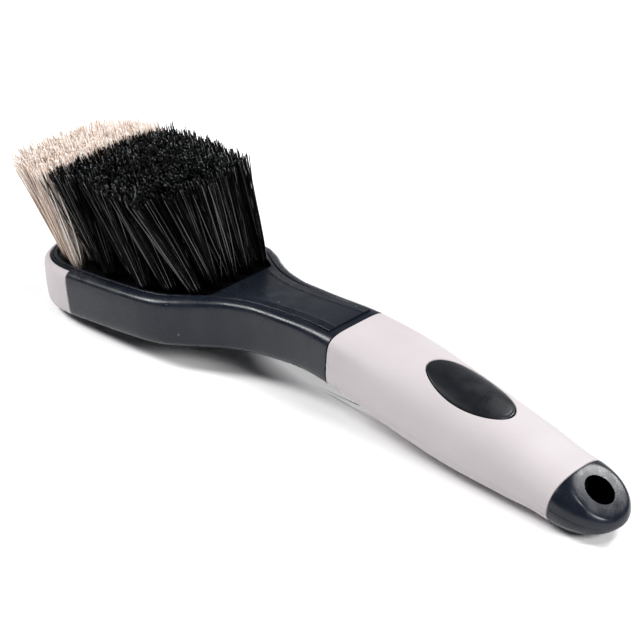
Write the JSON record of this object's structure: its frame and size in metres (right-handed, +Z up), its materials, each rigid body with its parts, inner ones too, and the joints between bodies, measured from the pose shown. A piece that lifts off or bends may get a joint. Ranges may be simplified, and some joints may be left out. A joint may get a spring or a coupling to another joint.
{
  "type": "wheel brush",
  "caption": "Short-handled wheel brush: inset plate with fanned pale and black bristle tufts, soft nose bumper, bent neck, soft grip with an oval thumb pad, and an end cap with a hang hole.",
  "frame": {"origin": "centre of the bounding box, on the surface that the brush lies on", "axes": "+X from the nose towards the hang hole, +Y across the head, +Z up, the way the bristles point"},
  "size_m": [0.285, 0.067, 0.0678],
  "materials": {
    "dark_plastic": "satin moulded hard plastic, dark blue-grey",
    "plate_plastic": "satin moulded hard plastic, dark blue-grey",
    "pale_rubber": "matt soft-touch rubber, pale pinkish grey",
    "black_rubber": "satin black soft insert",
    "pale_bristle": "cream bristle filament",
    "black_bristle": "glossy black bristle filament"
  },
  "bodies": {
    "root": {"body": "dark_plastic", "bristle_plate": "plate_plastic", "nose_bumper": "pale_rubber", "grip_sleeve": "pale_rubber", "thumb_pad": "black_rubber", "end_cap": "dark_plastic", "tuft_pale_row1_1": "pale_bristle", "tuft_pale_row1_2": "pale_bristle", "tuft_pale_row1_3": "pale_bristle", "tuft_pale_row2_1": "pale_bristle", "tuft_pale_row2_2": "pale_bristle", "tuft_pale_row2_3": "pale_bristle", "tuft_pale_row2_4": "pale_bristle", "tuft_pale_row2_5": "pale_bristle", "tuft_pale_row2_6": "pale_bristle", "tuft_pale_row3_1": "pale_bristle", "tuft_pale_row3_2": "pale_bristle", "tuft_pale_row3_3": "pale_bristle", "tuft_pale_row3_4": "pale_bristle", "tuft_pale_row3_5": "pale_bristle", "tuft_pale_row3_6": "pale_bristle", "tuft_pale_row3_7": "pale_bristle", "tuft_black_row4_1": "black_bristle", "tuft_black_row4_2": "black_bristle", "tuft_black_row4_3": "black_bristle", "tuft_black_row4_4": "black_bristle", "tuft_black_row4_5": "black_bristle", "tuft_black_row4_6": "black_bristle", "tuft_black_row5_1": "black_bristle", "tuft_black_row5_2": "black_bristle", "tuft_black_row5_3": "black_bristle", "tuft_black_row5_4": "black_bristle", "tuft_black_row5_5": "black_bristle", "tuft_black_row5_6": "black_bristle", "tuft_black_row5_7": "black_bristle", "tuft_black_row6_1": "black_bristle", "tuft_black_row6_2": "black_bristle", "tuft_black_row6_3": "black_bristle", "tuft_black_row6_4": "black_bristle", "tuft_black_row6_5": "black_bristle", "tuft_black_row6_6": "black_bristle", "tuft_black_row7_1": "black_bristle", "tuft_black_row7_2": "black_bristle", "tuft_black_row7_3": "black_bristle", "tuft_black_row7_4": "black_bristle", "tuft_black_row7_5": "black_bristle", "tuft_black_row7_6": "black_bristle", "tuft_black_row7_7": "black_bristle", "tuft_black_row8_1": "black_bristle", "tuft_black_row8_2": "black_bristle", "tuft_black_row8_3": "black_bristle", "tuft_black_row8_4": "black_bristle", "tuft_black_row8_5": "black_bristle", "tuft_black_row8_6": "black_bristle", "tuft_black_row9_1": "black_bristle", "tuft_black_row9_2": "black_bristle", "tuft_black_row9_3": "black_bristle", "tuft_black_row9_4": "black_bristle", "tuft_black_row9_5": "black_bristle"}
  },
  "joints": []
}
